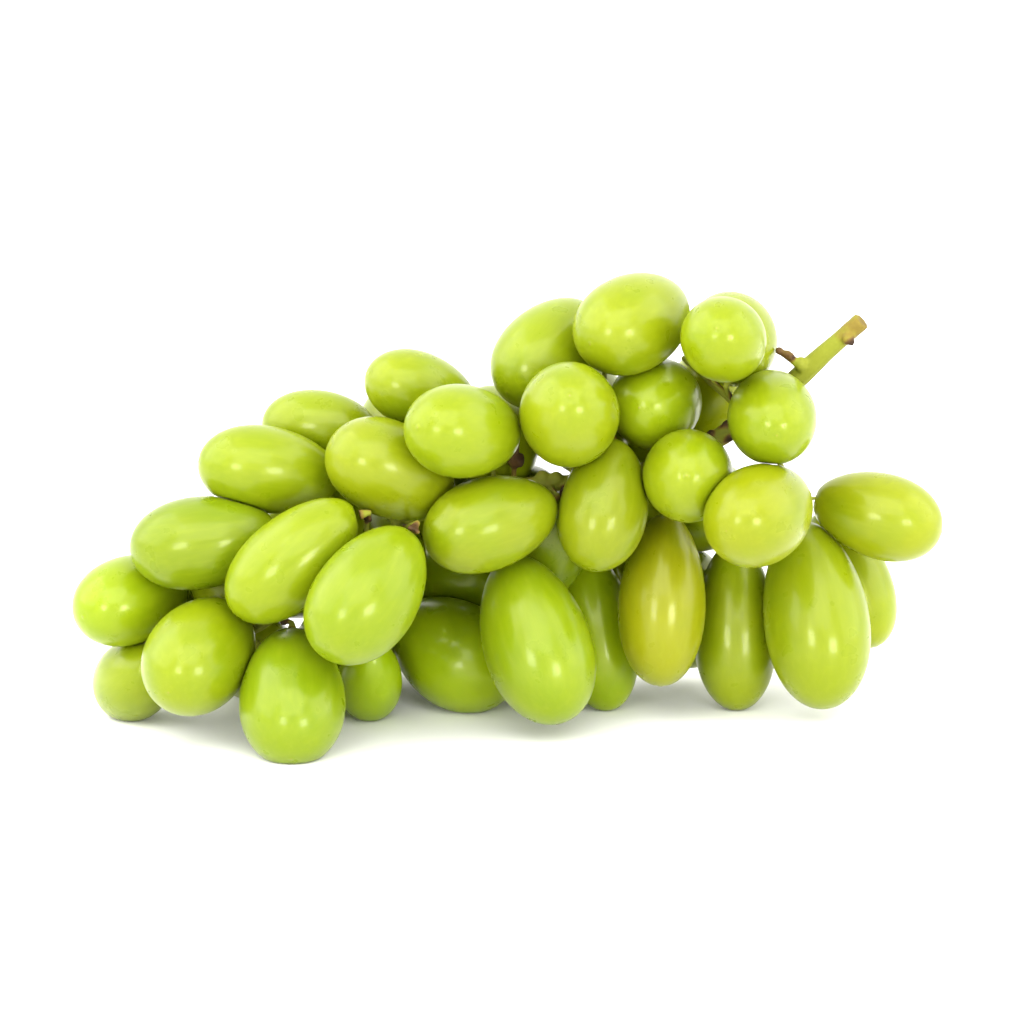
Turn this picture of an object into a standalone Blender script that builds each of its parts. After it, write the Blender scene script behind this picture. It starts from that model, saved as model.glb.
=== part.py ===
"""Bunch of long green table grapes, lying on its side on a table.

The berries press on one another and hold together as one body, and the branching stalk with
its stalklets runs between them. Lengths are in millimetres until a mesh is made, in metres.
X runs along the bunch with the cut stalk at +X, Y goes away from the viewer, and Z is up.
"""
import math

import bmesh
import bpy
import numpy as np
from mathutils import Matrix, Vector

for leftover in list(bpy.data.objects):
    bpy.data.objects.remove(leftover, do_unlink=True)

MM = 0.001

# How the bunch is seen: from in front, a little above, about a metre away
VIEW_ANGLE = math.radians(12)
VIEW_DISTANCE = 1000.0
VIEW_CENTRE_UP = 42.2

# A berry is wider towards its free tip by this share, and is a ball of so many sides and rings
WIDE_TIP = 0.11
BERRY_SIDES = 12
BERRY_RINGS = 8

# Berries press this far into one another, and this far into the table where they rest. Two of
# them hold together from this share of the full press on
PRESS = 0.8
REST_SINK = 0.45
HELD_SHARE = 0.7

# How they settle: rounds, balls that stand for a berry, the step towards the main stalk, how
# freely a seen berry moves across the view, and how strongly it is held at its seen place
SETTLE_ROUNDS = 260
LINKS = 9
DRAW_IN = 0.16
SEEN_FREEDOM = 0.12
SEEN_HOLD = 0.3
DEPTH_HOLD = 0.01
LOOSE_REACH = 15.0
LOOSE_STEP = 0.5

# Radii of the stalklets and their caps, and how much a branch thickens with what it carries
STALKLET_RADIUS = 0.6
CAP_RADIUS = 1.2
ROOT_FLARE = 1.5
BRANCH_GROWTH = 0.3
NECK_LENGTH = 2.0
STALKLET_STEP = 4.0

# Clearances of the stalk from the berries: wished for, least, least along a way, and at a cap
STALK_CLEAR = 0.55
LEAST_CLEAR = 0.45
WAY_CLEAR = 0.3
CAP_GAP = 0.35

# Angles by which a cap may move off the stem end, and the clearance that a radian costs
CAP_TILTS = (8, 16, 24, 32, 40)
TILT_COST = 0.5

# Rounds in which a stalk bends clear, how far it gives way in each, and how far it evens out
BEND_ROUNDS = 40
GIVE_WAY = 0.6
EVEN_OUT = 0.25

# Points of the main stalk, and the first of them that a stalklet may grow from
MAIN_STEPS = 44
MAIN_START = 8

# Cells in which the ways among the berries are found, out to a margin round the bunch but no
# farther than this from a berry. A way in the viewer's sight counts as several times as long,
# and a way's start is weighed by how far it is from the neck
CELL = 1.2
GRID_MARGIN = 3.0
FAR_OUT = 4.0
OPEN_ROOM = 9.0
WALK_ROUNDS = 60
SIGHT_WEIGHT = 5.0
START_WEIGHT = 3.0
NEXT_CELLS = [(i, j, k) for i in (-1, 0, 1) for j in (-1, 0, 1) for k in (-1, 0, 1) if i or j or k]

# Berries on the viewer's side: how far across and up the middle is seen, the length and the
# width that are seen, the lean of the free tip (degrees anticlockwise from +X), how far back
# the middle is (None where the berry rests on the table), the true length over the width, and
# 1 where the free tip turns to the viewer or -1 where it turns away
SEEN_BERRIES = [
    (-72.0, 25.7, 22.5, 17.0, 200, 8, 1.55, 1),
    (-58.5, 36.5, 29.0, 18.0, 188, -4, 1.60, 1),
    (-46.0, 50.0, 27.5, 16.5, 172, 5, 1.70, 1),
    (-36.5, 58.5, 22.0, 13.5, 178, 20, 1.65, -1),
    (-42.0, 33.0, 31.0, 17.5, 222, -20, 1.76, 1),
    (-59.5, 15.0, 24.5, 20.0, 230, -15, 1.50, 1),
    (-71.5, 10.5, 17.0, 15.0, 220, None, 1.55, -1),
    (-42.0, 7.0, 27.0, 20.0, 270, None, 1.50, 1),
    (-27.5, 26.5, 29.5, 20.0, 235, -23, 1.52, 1),
    (-27.0, 10.5, 16.0, 12.5, 270, None, 1.60, -1),
    (-23.0, 50.0, 26.5, 18.5, 155, -6, 1.50, 1),
    (-9.0, 57.5, 22.5, 18.0, 175, -10, 1.55, 1),
    (-17.0, 65.0, 22.5, 15.0, 160, 10, 1.60, 1),
    (-4.0, 40.0, 27.0, 18.0, 198, -16, 1.55, 1),
    (7.0, 72.5, 24.5, 18.0, 225, 20, 1.50, 1),
    (11.0, 61.0, 20.0, 19.0, 90, -4, 1.50, 1),
    (23.3, 78.2, 23.4, 18.8, 208, 6, 1.50, 1),
    (27.5, 63.0, 18.0, 17.2, 200, 14, 1.50, 1),
    (40.1, 74.4, 16.6, 16.0, 120, 3, 1.50, 1),
    (49.5, 60.5, 18.0, 17.0, 280, 2, 1.50, 1),
    (37.5, 65.0, 19.0, 15.5, 260, 24, 1.50, -1),
    (33.5, 49.0, 17.5, 17.5, 250, 0, 1.50, 1),
    (17.5, 43.5, 26.0, 17.0, 260, -4, 1.55, 1),
    (47.0, 42.0, 22.0, 19.0, 208, -5, 1.50, 1),
    (70.0, 41.5, 25.5, 16.5, 345, 9, 1.56, 1),
    (64.5, 29.5, 28.5, 15.5, 292, 23, 1.80, 1),
    (58.0, 22.5, 36.5, 20.5, 278, 7, 1.80, 1),
    (42.5, 20.5, 32.5, 15.6, 271, None, 2.00, -1),
    (29.0, 25.0, 33.5, 17.0, 268, 5, 1.95, 1),
    (16.0, 20.0, 32.0, 15.0, 280, None, 2.00, -1),
    (4.5, 18.0, 33.5, 20.5, 288, 1, 1.65, 1),
    (-11.0, 15.5, 26.5, 20.5, 325, None, 1.40, 1),
    (-11.5, 29.5, 21.0, 16.0, 180, 36, 1.50, -1),
    (6.5, 36.0, 21.0, 16.0, 250, 18, 1.50, -1),
    (41.8, 74.5, 18.6, 16.6, 110, 22, 1.50, -1),
]

# Line of the main stalk, from the cut end to the tail of the bunch: across, up as seen, depth
# and thickness
MAIN_STALK = [
    (66.7, 78.7, 9.0, 4.8),
    (65.0, 77.2, 9.0, 4.2),
    (60.5, 73.5, 10.0, 4.0),
    (55.5, 69.2, 12.0, 4.2),
    (49.0, 62.0, 15.0, 4.2),
    (43.5, 57.2, 14.5, 4.0),
    (37.5, 54.4, 14.0, 3.8),
    (31.5, 50.8, 14.5, 3.6),
    (24.5, 48.3, 13.0, 3.4),
    (15.0, 47.8, 10.0, 3.2),
    (6.5, 49.0, 6.0, 3.0),
    (-3.0, 47.8, 8.0, 2.8),
    (-13.5, 44.5, 8.0, 2.6),
    (-24.0, 39.5, 6.0, 2.4),
    (-34.0, 31.0, 5.0, 2.2),
    (-44.0, 21.5, 4.0, 2.0),
    (-53.5, 18.0, 6.0, 1.8),
]

# Twigs with no berry, near the cut end: the same measures, root first
BARE_TWIGS = [
    [(65.0, 77.0, 9.0, 2.4), (64.3, 75.2, 8.5, 2.2), (63.8, 73.8, 8.2, 1.7)],
    [(55.5, 69.5, 12.0, 2.2), (53.2, 71.2, 11.5, 1.7), (50.5, 73.0, 12.0, 1.3)],
]

# Rows of berries behind the main stalk: how many, the angle round the stalk from straight
# back towards the top, and how far from the stalk's line. The last row rests on the table
BACK_ROWS = [
    (6, 24, 18),
    (7, -14, 25),
    (7, -45, 38),
]
BACK_SPAN = (0.24, 0.98)
BACK_SHIFT = 0.15
BACK_TURN = 8
BACK_SLANTS = (-0.35, 0.1)
BACK_HALF_WIDTHS = (8.4, 9.6)
BACK_STRETCHES = (1.48, 1.68)
BACK_SEED = 11

# Places where light comes through the bunch: across, up as seen, and half the gap's width
OPEN_SIGHTS = [
    (43.5, 52.0, 2.0),
    (8.0, 50.5, 1.2),
    (31.0, 72.5, 1.2),
    (-20.0, 10.0, 0.8),
    (31.2, 8.5, 4.5),
]


SIGHT = np.array([0.0, math.cos(VIEW_ANGLE), -math.sin(VIEW_ANGLE)])
RISE = np.array([0.0, math.sin(VIEW_ANGLE), math.cos(VIEW_ANGLE)])
EYE = np.array([0.0, 0.0, VIEW_CENTRE_UP / math.cos(VIEW_ANGLE)]) - SIGHT * VIEW_DISTANCE


def place_from_view(across, up, back):
    """Turns a place that is seen across and up, at a depth, into a point of space."""
    ray = SIGHT * VIEW_DISTANCE + RISE * (up - VIEW_CENTRE_UP)
    ray[0] += across
    return EYE + ray * ((back - EYE[1]) / ray[1])


def even_line(points, values, count):
    """Points at even distances along a line, and the values that go with them."""
    run = np.concatenate([[0.0], np.cumsum(np.linalg.norm(np.diff(points, axis=0), axis=1))])
    steps = np.linspace(0, run[-1], count)
    return np.stack([np.interp(steps, run, column) for column in points.T], axis=1), np.interp(
        steps, run, values)


def lowest(centre, axis, half_length, half_width):
    """Height of the lowest point of a berry."""
    rise = axis[2] ** 2
    return centre[2] - math.sqrt(half_length ** 2 * rise + half_width ** 2 * (1 - rise))


def berry_at_depth(across, up, seen, width, lean, back, stretch, faces):
    """Middle, axis towards the free tip, half length and half width of a berry that is seen."""
    centre = place_from_view(across, up, back)
    sight = centre - EYE
    nearness = np.linalg.norm(sight) / VIEW_DISTANCE
    sight = sight / np.linalg.norm(sight)
    half_width = width / 2 * nearness
    half_seen = seen / 2 * nearness
    half_length = max(stretch * half_width, half_seen)
    share = (half_seen ** 2 - half_width ** 2) / (half_length ** 2 - half_width ** 2)
    share = min(1.0, max(0.0, share))
    side = np.array([1.0, 0.0, 0.0])
    rise = np.cross(side, sight)
    flat = side * math.cos(math.radians(lean)) + rise * math.sin(math.radians(lean))
    axis = math.sqrt(share) * flat - faces * math.sqrt(1 - share) * sight
    return centre, axis / np.linalg.norm(axis), half_length, half_width


def seen_berry(across, up, seen, width, lean, back, stretch, faces):
    """A berry that is seen; one that rests on the table is as far back as the table allows."""
    if back is not None:
        return berry_at_depth(across, up, seen, width, lean, back, stretch, faces)
    back = 0.0
    for attempt in range(30):
        berry = berry_at_depth(across, up, seen, width, lean, back, stretch, faces)
        back += (lowest(*berry) + REST_SINK) / math.tan(VIEW_ANGLE)
    return berry


def line_from_view(rows):
    """Points and radii of a stalk that is seen."""
    points = np.array([place_from_view(across, up, back) for across, up, back, size in rows])
    return points, np.array([size / 2 for across, up, back, size in rows])


def main_stalk_line():
    """Points and radii of the main stalk, evened out to short steps."""
    points, radii = even_line(*line_from_view(MAIN_STALK), MAIN_STEPS)
    for attempt in range(3):
        points[1:-1] = (points[:-2] + 2 * points[1:-1] + points[2:]) / 4
    return points, radii


def back_berries(line):
    """Berries behind the stalk, in rows round it, with small seeded differences."""
    draw = np.random.default_rng(BACK_SEED)
    berries = []
    for count, angle, reach in BACK_ROWS:
        for k in range(count):
            place = (k + 0.5 + draw.uniform(-BACK_SHIFT, BACK_SHIFT)) / count
            share = BACK_SPAN[0] + (BACK_SPAN[1] - BACK_SPAN[0]) * place
            turn = math.radians(angle + draw.uniform(-BACK_TURN, BACK_TURN))
            axis = np.array([draw.uniform(*BACK_SLANTS), math.cos(turn), math.sin(turn)])
            axis /= np.linalg.norm(axis)
            half_width = draw.uniform(*BACK_HALF_WIDTHS)
            half_length = half_width * draw.uniform(*BACK_STRETCHES)
            centre = line[int(round(share * (len(line) - 1)))] + axis * reach
            if (count, angle, reach) == BACK_ROWS[-1]:
                centre[2] -= lowest(centre, axis, half_length, half_width) + REST_SINK
            berries.append((centre, axis, half_length, half_width))
    return berries


def obstacles(line, line_radii):
    """Points and radii that no berry may cover: the main stalk and the open lines of sight."""
    points = [line]
    radii = [line_radii]
    for across, up, half_gap in OPEN_SIGHTS:
        sight = np.array([place_from_view(across, up, back) for back in range(-40, 61, 3)])
        points.append(sight)
        radii.append(np.full(len(sight), half_gap - STALK_CLEAR))
    return np.concatenate(points), np.concatenate(radii)


def links(centres, axes, lengths, widths):
    """Chains of balls that fill the berries, as middles and radii."""
    along = np.linspace(-1, 1, LINKS)
    reach = (lengths ** 2 - widths ** 2) / lengths
    offset = reach[:, None] * along
    radii = widths[:, None] * np.sqrt(1 - offset ** 2 / (lengths ** 2 - widths ** 2)[:, None])
    radii = radii * (1 + WIDE_TIP * offset / lengths[:, None])
    return centres[:, None] + offset[..., None] * axes[:, None], radii


def overlaps(balls, radii):
    """For each pair of berries: the overlap, its direction and the point of the first berry."""
    count, size = radii.shape
    flat = balls.reshape(-1, 3)
    apart = flat[:, None] - flat[None]
    distance = np.maximum(np.linalg.norm(apart, axis=2), 1e-6)
    depth = radii.reshape(-1, 1) + radii.reshape(1, -1) - distance

    def by_pair(values):
        return values.reshape(count, size, count, size).transpose(0, 2, 1, 3).reshape(count, count, -1)

    depth = by_pair(depth)
    worst = np.argmax(depth, axis=2)[..., None]
    overlap = np.take_along_axis(depth, worst, 2)[..., 0]
    direction = np.stack(
        [np.take_along_axis(by_pair(apart[..., k] / distance), worst, 2)[..., 0] for k in range(3)], axis=2)
    touch = balls[np.arange(count)[:, None], worst[..., 0] // size]
    np.fill_diagonal(overlap, -1e3)
    return overlap, direction, touch


def push_apart(balls, radii, lengths, centres):
    """How the berries that press too far push one another away, and turn."""
    overlap, direction, touch = overlaps(balls, radii)
    push = np.maximum(overlap - PRESS, 0)[..., None] * direction * 0.5
    turn = np.cross(touch - centres[:, None], push).sum(axis=1) / (lengths ** 2)[:, None]
    return push.sum(axis=1), turn


def push_off(balls, radii, points, point_radii):
    """How the berries move off the points that they must leave clear."""
    count = len(balls)
    apart = balls[:, :, None] - points
    distance = np.maximum(np.linalg.norm(apart, axis=3), 1e-6)
    deep = (radii[:, :, None] + point_radii + STALK_CLEAR - distance).reshape(count, -1)
    worst = np.argmax(deep, axis=1)
    size = np.maximum(deep[np.arange(count), worst], 0)
    return size[:, None] * (apart / distance[..., None]).reshape(count, -1, 3)[np.arange(count), worst]


def draw_in(centres, resting, line):
    """A small step of each berry towards the main stalk, level where it rests on the table."""
    apart = line[None] - centres[:, None]
    nearest = np.argmin(np.linalg.norm(apart, axis=2), axis=1)
    step = apart[np.arange(len(centres)), nearest]
    step[resting, 2] = 0
    return DRAW_IN * step / np.linalg.norm(step, axis=1)[:, None]


def lowest_points(centres, axes, lengths, widths):
    """Heights of the lowest points of the berries."""
    return np.array([lowest(*berry) for berry in zip(centres, axes, lengths, widths)])


def settle(centres, axes, lengths, widths, line, clear_points, clear_radii):
    """Lets the berries settle until they only press on one another, clear of the stalk.

    A berry that is seen keeps its place in the view and moves along the line of sight, and one
    that is seen to rest on the table doesn't move.
    """
    home, home_axes = centres.copy(), axes.copy()
    seen = (np.arange(len(centres)) < len(SEEN_BERRIES))[:, None]
    freedom = np.where(seen, SEEN_FREEDOM, 1.0)
    hold = np.where(seen, SEEN_HOLD, 0.0)
    resting = lowest_points(centres, axes, lengths, widths) < 0
    still = resting & seen[:, 0]
    for attempt in range(SETTLE_ROUNDS):
        balls, radii = links(centres, axes, lengths, widths)
        move, turn = push_apart(balls, radii, lengths, centres)
        move += push_off(balls, radii, clear_points, clear_radii)
        move += draw_in(centres, resting, line)
        inward = SIGHT * (move @ SIGHT)[:, None]
        sunk = np.maximum(-REST_SINK - lowest_points(centres, axes, lengths, widths), 0)
        centres = centres + 0.5 * (inward + freedom * (move - inward))
        centres[:, 2] += 0.6 * sunk
        axes = axes + np.cross(0.5 * freedom * turn, axes) + hold * (home_axes - axes)
        axes /= np.linalg.norm(axes, axis=1)[:, None]
        back = home - centres
        inward = SIGHT * (back @ SIGHT)[:, None]
        centres = centres + hold * (back - inward) + DEPTH_HOLD * inward
        centres[still], axes[still] = home[still], home_axes[still]
    return centres, axes


def bodies(overlap):
    """Groups of berries that hold together, the largest first."""
    left = set(range(len(overlap)))
    groups = []
    while left:
        group = [left.pop()]
        for i in group:
            touching = [j for j in left if overlap[i, j] > HELD_SHARE * PRESS]
            left.difference_update(touching)
            group += touching
        groups.append(sorted(group))
    return sorted(groups, key=len, reverse=True)


def press_together(centres, axes, lengths, widths):
    """Moves each loose group of berries against the others, along the line of sight if it can."""
    for attempt in range(len(centres)):
        overlap, direction, touch = overlaps(*links(centres, axes, lengths, widths))
        groups = bodies(overlap)
        if len(groups) == 1:
            break
        body, group = groups[0], groups[-1]
        gaps = overlap[np.ix_(group, body)]
        i, j = np.unravel_index(np.argmax(gaps), gaps.shape)
        step = (gaps[i, j] - PRESS) * direction[group[i], body[j]]
        for reach in sorted(np.arange(-LOOSE_REACH, LOOSE_REACH + LOOSE_STEP, LOOSE_STEP), key=abs):
            moved = centres.copy()
            moved[group] += reach * SIGHT
            if overlaps(*links(moved, axes, lengths, widths))[0][np.ix_(group, body)].max() > PRESS:
                step = reach * SIGHT
                break
        centres[group] += step
    return centres


def all_berries():
    """Every berry's middle, axis, half length and half width, once the bunch has settled."""
    line, line_radii = main_stalk_line()
    berries = [seen_berry(*row) for row in SEEN_BERRIES] + back_berries(line)
    centres, axes, lengths, widths = (np.array(column) for column in zip(*berries))
    centres, axes = settle(
        centres, axes, lengths, widths, line, *obstacles(line, line_radii))
    centres = press_together(centres, axes, lengths, widths)
    return centres, axes, lengths, widths


def push_out(points, clear, settled):
    """Steps that take points out of the berries and their clearance."""
    centres, axes, lengths, widths = settled
    apart = points[:, None] - centres
    along = (apart * axes).sum(axis=2)
    side = apart - along[..., None] * axes
    long_reach = lengths + clear[:, None]
    wide_reach = widths * (1 + WIDE_TIP * along / lengths) + clear[:, None]
    slope = along[..., None] * axes / long_reach[..., None] ** 2 + side / wide_reach[..., None] ** 2
    steep = np.maximum(np.linalg.norm(slope, axis=2), 1e-6)
    level = np.sqrt((along / long_reach) ** 2 + (side ** 2).sum(axis=2) / wide_reach ** 2)
    depth = np.where(level < 1, (1 - level) * level / steep, 0)
    return (depth[..., None] * slope / steep[..., None]).sum(axis=1)


def bend_clear(points, radii, settled, fixed_end):
    """Bends a line of points out of the berries; its first point and its end stay."""
    points = points.copy()
    last = len(points) - fixed_end
    for attempt in range(BEND_ROUNDS):
        step = push_out(points, radii + STALK_CLEAR, settled)
        even = (points[:-2] + points[2:]) / 2 - points[1:-1]
        points[1:last] += GIVE_WAY * step[1:last] + EVEN_OUT * even[:last - 1]
    return points


def room_at(points, settled):
    """How far each point is from the nearest berry; less than nothing inside one."""
    room = np.full(points.shape[:-1], OPEN_ROOM)
    for centre, axis, half_length, half_width in zip(*settled):
        apart = points - centre
        along = apart @ axis
        side = (apart ** 2).sum(axis=-1) - along ** 2
        wide = half_width * (1 + WIDE_TIP * np.clip(along / half_length, -1, 1))
        level = np.sqrt((along / half_length) ** 2 + side / wide ** 2)
        steep = np.sqrt((along / half_length ** 2) ** 2 + side / wide ** 4)
        room = np.minimum(room, (level - 1) * level / np.maximum(steep, 1e-6))
    return room


def open_cells(settled):
    """A grid of the room among the berries, as its corner and the room in each cell."""
    centres, axes, lengths, widths = settled
    corner = (centres - lengths[:, None]).min(axis=0) - GRID_MARGIN
    corner[2] = CELL
    top = (centres + lengths[:, None]).max(axis=0) + GRID_MARGIN
    ticks = [np.arange(corner[k], top[k], CELL) for k in range(3)]
    grid = np.stack(np.meshgrid(*ticks, indexing="ij"), axis=-1)
    room = np.full(grid.shape[:3], OPEN_ROOM)
    for berry in zip(*settled):
        reach = berry[2] + FAR_OUT
        low = np.maximum(((berry[0] - reach - corner) / CELL).astype(int), 0)
        high = ((berry[0] + reach - corner) / CELL).astype(int)
        box = tuple(slice(low[k], high[k]) for k in range(3))
        alone = [np.array([value]) for value in berry]
        room[box] = np.minimum(room[box], room_at(grid[box], alone))
    return corner, room


def hidden(points, settled):
    """Whether each point is behind a berry for the viewer."""
    behind = np.zeros(len(points), bool)
    for centre, axis, half_length, half_width in zip(*settled):
        squeeze = np.eye(3) + (half_width / half_length - 1) * np.outer(axis, axis)
        eye = squeeze @ (EYE - centre)
        ray = (points - centre) @ squeeze - eye
        share = np.clip(-(ray @ eye) / (ray ** 2).sum(axis=1), 0, 1)
        behind |= ((eye + share[:, None] * ray) ** 2).sum(axis=1) < half_width ** 2
    return behind


def walk_lengths(room, corner, line, settled):
    """For each open cell, the length of the shortest free way to the main stalk."""
    free = (room > STALKLET_RADIUS + WAY_CLEAR) & (room < FAR_OUT)
    cost = np.where(free, CELL, np.inf)
    cost[free] *= np.where(hidden(np.argwhere(free) * CELL + corner, settled), 1, SIGHT_WEIGHT)
    ways = np.full(room.shape, np.inf)
    for point in line:
        ways[tuple(((point - corner) / CELL).round().astype(int))] = 0
    for attempt in range(WALK_ROUNDS):
        before = ways.copy()
        for step in NEXT_CELLS:
            here = tuple(slice(max(0, -k), min(0, -k) or None) for k in step)
            there = tuple(slice(max(0, k), min(0, k) or None) for k in step)
            stride = cost[here] * math.sqrt(sum(k * k for k in step))
            ways[here] = np.minimum(ways[here], ways[there] + stride)
        if np.array_equal(before, ways):
            break
    return ways


def walk(cell, ways, grown):
    """Cells from one cell to the branches grown so far, or to the main stalk."""
    path = [cell]
    while path[-1] not in grown and ways[path[-1]] > 0:
        options = {tuple(np.add(path[-1], step)): np.linalg.norm(step) * CELL for step in NEXT_CELLS}
        path.append(min(options, key=lambda cell: ways[cell] + options[cell]))
    return path


def stem_end(i, settled):
    """Cap and neck of a berry's stalklet, beside the stem end where other berries press."""
    centre, axis, half_length, half_width = (values[i] for values in settled)
    others = [np.delete(values, i, axis=0) for values in settled]
    side = np.cross(axis, (0.0, 0.0, 1.0))
    side /= np.linalg.norm(side)
    over = np.cross(axis, side)
    tilts = [(0, 0)] + [(tilt, turn) for tilt in CAP_TILTS for turn in range(0, 360, 45)]
    tilt, turn = np.radians(np.array(tilts)).T[..., None]
    way = np.sin(tilt) * (np.cos(turn) * side + np.sin(turn) * over) - np.cos(tilt) * axis
    along = (way @ axis)[:, None]
    wide = half_width * (1 + WIDE_TIP * along)
    reach = 1 / np.sqrt((along / half_length) ** 2 + (1 - along ** 2) / wide ** 2)
    normal = along * axis / half_length ** 2 + (way - along * axis) / wide ** 2
    normal /= np.linalg.norm(normal, axis=1)[:, None]
    caps = centre + reach * way + CAP_GAP * normal
    necks = caps + NECK_LENGTH * normal
    room = np.minimum(room_at(caps, others) - CAP_RADIUS, room_at(necks, others) - STALKLET_RADIUS)
    best = np.argmax(np.minimum(room, LEAST_CLEAR) - TILT_COST * tilt[:, 0])
    return caps[best], necks[best]


def start_cells(necks, corner, ways):
    """For each neck, the cell near it with the shortest way to the main stalk, shortest first."""
    nearby = np.array([(0, 0, 0)] + NEXT_CELLS + [(2 * i, 2 * j, 2 * k) for i, j, k in NEXT_CELLS])
    starts = []
    for i, neck in enumerate(necks):
        cells = ((neck - corner) / CELL).round().astype(int) + nearby
        reach = np.linalg.norm(cells * CELL + corner - neck, axis=1)
        length = np.array([ways[tuple(cell)] for cell in cells]) + START_WEIGHT * reach
        starts.append((length.min(), i, tuple(cells[np.argmin(length)])))
    return sorted(starts)


def grow_stalk(settled, line):
    """Joins each berry's stem end to the main stalk by the shortest free way among the berries.

    Where ways meet, the later one branches off the earlier one.
    """
    caps, necks = zip(*[stem_end(i, settled) for i in range(len(settled[0]))])
    corner, room = open_cells(settled)
    ways = walk_lengths(room, corner, line[MAIN_START:], settled)
    grown = {}
    branches = []
    for length, i, cell in start_cells(necks, corner, ways):
        if not np.isfinite(length):
            print("Berry", i + 1, "has no free way for its stalklet")
            continue
        path = walk(cell, ways, grown)
        places = np.array(path[::-1]) * CELL + corner
        parent, joint = grown.get(path[-1], (None, None))
        if parent is None:
            places[0] = line[np.argmin(np.linalg.norm(line - places[0], axis=1))]
        else:
            places[0] = branches[parent]["points"][joint]
        places = np.concatenate([places, [necks[i]]])
        length = np.linalg.norm(np.diff(places, axis=0), axis=1).sum()
        count = max(3, int(length / STALKLET_STEP) + 2)
        points, rank = even_line(places, np.arange(len(places)), count)
        points = np.concatenate([points, [caps[i]]])
        points = bend_clear(points, np.full(count + 1, STALKLET_RADIUS), settled, 2)
        for place, step in enumerate(path[::-1][1:], start=1):
            grown.setdefault(step, (len(branches), max(1, int(np.argmin(abs(rank - place))))))
        branches.append({"points": points, "parent": parent, "carries": 1})
        while parent is not None:
            branches[parent]["carries"] += 1
            parent = branches[parent]["parent"]
    return branches


def mesh_object(name, mesh, home):
    """Makes an object of a mesh in a collection."""
    piece = bpy.data.objects.new(name, mesh)
    home.objects.link(piece)
    return piece


def berry_object(name, centre, axis, half_length, half_width, home):
    """One long berry, wider at its free tip and cut flat where it rests on the table."""
    form = bmesh.new()
    bmesh.ops.create_uvsphere(form, u_segments=BERRY_SIDES, v_segments=BERRY_RINGS, radius=1.0)
    full = 1 / math.cos(math.pi / BERRY_SIDES) ** 0.5
    for corner in form.verts:
        swell = half_width * full * (1 + WIDE_TIP * corner.co.z)
        corner.co = Vector((corner.co.x * swell, corner.co.y * swell, corner.co.z * half_length)) * MM
    turn = Vector(axis).to_track_quat("Z", "Y").to_matrix().to_4x4()
    form.transform(Matrix.Translation(Vector(centre) * MM) @ turn)
    if min(corner.co.z for corner in form.verts) < 0:
        everything = form.verts[:] + form.edges[:] + form.faces[:]
        cut = bmesh.ops.bisect_plane(
            form, geom=everything, plane_co=(0, 0, 0), plane_no=(0, 0, 1), clear_inner=True)
        rim = [part for part in cut["geom_cut"] if isinstance(part, bmesh.types.BMEdge)]
        bmesh.ops.edgeloop_fill(form, edges=rim)
        bmesh.ops.recalc_face_normals(form, faces=form.faces)
    mesh = bpy.data.meshes.new(name)
    form.to_mesh(mesh)
    form.free()
    return mesh_object(name, mesh, home)


def fuse(name, pieces, home):
    """Joins overlapping solids into one body by a Boolean union, and removes the originals."""
    others = bpy.data.collections.new(name + " pieces")
    scene.collection.children.link(others)
    others.hide_render = True
    for piece in pieces[1:]:
        for old_home in list(piece.users_collection):
            old_home.objects.unlink(piece)
        others.objects.link(piece)
    union = pieces[0].modifiers.new("Union", "BOOLEAN")
    union.operation = "UNION"
    union.operand_type = "COLLECTION"
    union.collection = others
    union.solver = "EXACT"
    ready = pieces[0].evaluated_get(bpy.context.evaluated_depsgraph_get())
    mesh = bpy.data.meshes.new_from_object(ready)
    mesh.name = name
    for piece in list(pieces):
        bpy.data.objects.remove(piece, do_unlink=True)
    bpy.data.collections.remove(others)
    keep_outer_shell(mesh)
    return mesh_object(name, mesh, home)


def keep_outer_shell(mesh):
    """Merges stray doubles and fills any hollow that the union has sealed."""
    form = bmesh.new()
    form.from_mesh(mesh)
    bmesh.ops.remove_doubles(form, verts=form.verts, dist=2e-6)
    bmesh.ops.triangulate(form, faces=form.faces)
    left = set(form.faces)
    shells = []
    while left:
        edge = [left.pop()]
        shell = list(edge)
        while edge:
            face = edge.pop()
            for side in face.edges:
                for other in side.link_faces:
                    if other in left:
                        left.discard(other)
                        edge.append(other)
                        shell.append(other)
        shells.append(shell)
    shells.sort(key=len, reverse=True)
    for shell in shells[1:]:
        bmesh.ops.delete(form, geom=shell, context="FACES")
    form.to_mesh(mesh)
    form.free()


def material(name, colour, roughness):
    """Principled material of one colour."""
    skin = bpy.data.materials.new(name)
    skin.use_nodes = True
    shader = skin.node_tree.nodes["Principled BSDF"]
    shader.inputs["Base Color"].default_value = (*colour, 1.0)
    shader.inputs["Roughness"].default_value = roughness
    shader.inputs["Metallic"].default_value = 0.0
    return skin


def tube(name, points, radii, sides_level, home):
    """A round stalk along a line of points, closed at both ends, as a mesh."""
    curve = bpy.data.curves.new(name, "CURVE")
    curve.dimensions = "3D"
    curve.bevel_depth = MM
    curve.bevel_resolution = sides_level
    curve.use_fill_caps = True
    spline = curve.splines.new("POLY")
    spline.points.add(len(points) - 1)
    for knot, point, radius in zip(spline.points, points, radii):
        knot.co = (*(np.asarray(point) * MM), 1.0)
        knot.radius = radius
    piece = bpy.data.objects.new(name, curve)
    home.objects.link(piece)
    ready = piece.evaluated_get(bpy.context.evaluated_depsgraph_get())
    mesh = bpy.data.meshes.new_from_object(ready)
    mesh.transform(piece.matrix_world)
    bpy.data.objects.remove(piece, do_unlink=True)
    form = bmesh.new()
    form.from_mesh(mesh)
    bmesh.ops.remove_doubles(form, verts=form.verts, dist=1e-6)
    bmesh.ops.recalc_face_normals(form, faces=form.faces)
    form.to_mesh(mesh)
    form.free()
    return mesh_object(name, mesh, home)


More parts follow.
